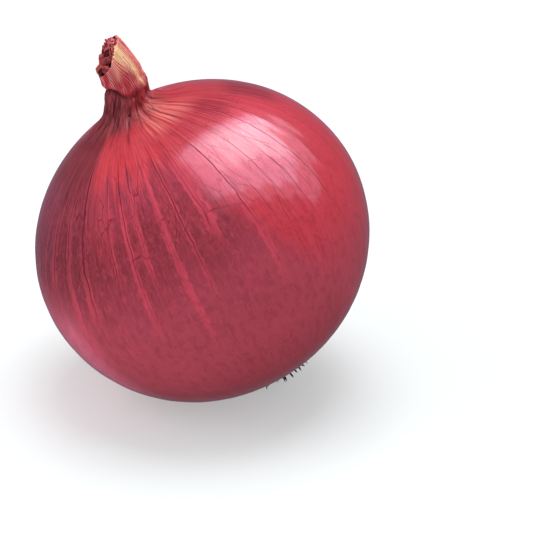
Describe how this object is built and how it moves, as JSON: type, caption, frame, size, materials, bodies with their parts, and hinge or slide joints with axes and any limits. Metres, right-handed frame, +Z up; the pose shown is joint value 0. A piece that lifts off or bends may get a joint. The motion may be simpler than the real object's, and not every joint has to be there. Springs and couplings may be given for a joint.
{
  "type": "red onion",
  "caption": "Whole round red onion with a short bent dry neck, withered leaf ends in its mouth and a tuft of trimmed roots, lying on its side on a small flat spot.",
  "frame": {"origin": "on the surface the onion rests on, at the rest spot, straight below the middle of the bulb", "axes": "+Z up; the neck leans towards -X and the roots point down towards +X; +Y is the side away from the viewer"},
  "size_m": [0.0822, 0.0836, 0.091],
  "materials": {
    "onion_skin": "thin dry crimson to purple skin with fine dark veins and a soft gloss",
    "withered_leaf": "crumpled dry brown-red leaf ends, matte",
    "root_brown": "dry fibrous roots, matte"
  },
  "bodies": {
    "root": {"bulb": "onion_skin", "withered_leaf_ends": "withered_leaf", "root_tuft": "root_brown"}
  },
  "joints": []
}
